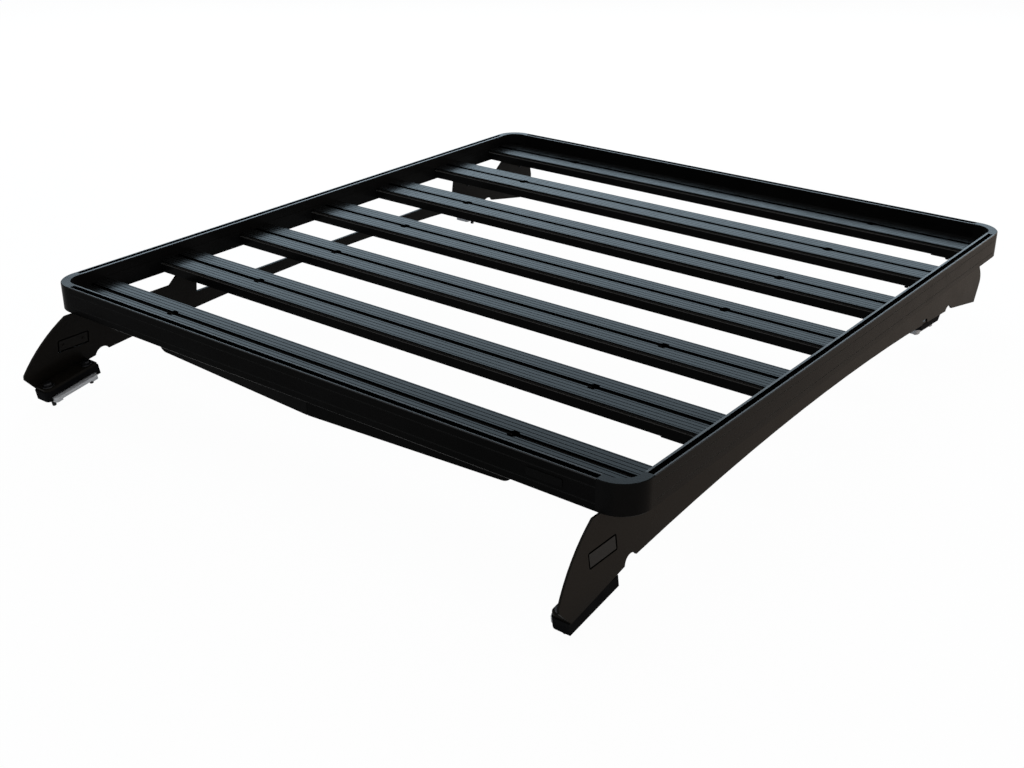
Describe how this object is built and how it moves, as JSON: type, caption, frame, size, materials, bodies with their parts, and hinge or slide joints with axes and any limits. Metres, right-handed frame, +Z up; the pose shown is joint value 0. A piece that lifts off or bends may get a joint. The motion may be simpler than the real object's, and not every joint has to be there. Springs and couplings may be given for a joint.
{
  "type": "flat platform roof rack",
  "caption": "Flat vehicle roof rack: a slatted deck with bolt channels in a rail frame, on two splayed foot rails with gutter clamps and a wind deflector.",
  "frame": {"origin": "on the floor below the middle of the rack's box, at the height of the lowest foot bolt", "axes": "+Z up; the front, with the wind deflector, faces -Y; left is -X"},
  "size_m": [1.255, 1.4849, 0.2089],
  "materials": {
    "frame_coat": "satin black powder coat on aluminium",
    "corner_coat": "satin black powder coat on castings",
    "slat_coat": "satin black powder coat on aluminium",
    "foot_coat": "satin black powder coat on folded steel",
    "deflector_coat": "satin black powder coat on sheet",
    "pad_rubber": "matt black rubber",
    "clamp_bright": "plain milled bar",
    "bolt_steel": "black zinc, bright washers",
    "blank_plate": "matt black, blank"
  },
  "bodies": {
    "root": {"rail_front": "frame_coat", "rail_rear": "frame_coat", "rail_left": "frame_coat", "rail_right": "frame_coat", "corner_front_left": "corner_coat", "corner_front_right": "corner_coat", "corner_rear_left": "corner_coat", "corner_rear_right": "corner_coat", "slat_1": "slat_coat", "slat_2": "slat_coat", "slat_3": "slat_coat", "slat_4": "slat_coat", "slat_5": "slat_coat", "slat_6": "slat_coat", "slat_7": "slat_coat", "foot_rail_left": "foot_coat", "foot_pad_front_left": "pad_rubber", "clamp_bar_front_left": "clamp_bright", "foot_bolts_front_left": "bolt_steel", "foot_pad_rear_left": "pad_rubber", "clamp_bar_rear_left": "clamp_bright", "foot_bolts_rear_left": "bolt_steel", "tab_bolts_left": "bolt_steel", "deflector_left": "deflector_coat", "leg_plate_left": "blank_plate", "foot_rail_right": "foot_coat", "foot_pad_front_right": "pad_rubber", "clamp_bar_front_right": "clamp_bright", "foot_bolts_front_right": "bolt_steel", "foot_pad_rear_right": "pad_rubber", "clamp_bar_rear_right": "clamp_bright", "foot_bolts_rear_right": "bolt_steel", "tab_bolts_right": "bolt_steel", "deflector_right": "deflector_coat", "leg_plate_right": "blank_plate", "deflector_bolts": "bolt_steel", "rail_plate": "blank_plate"}
  },
  "joints": []
}
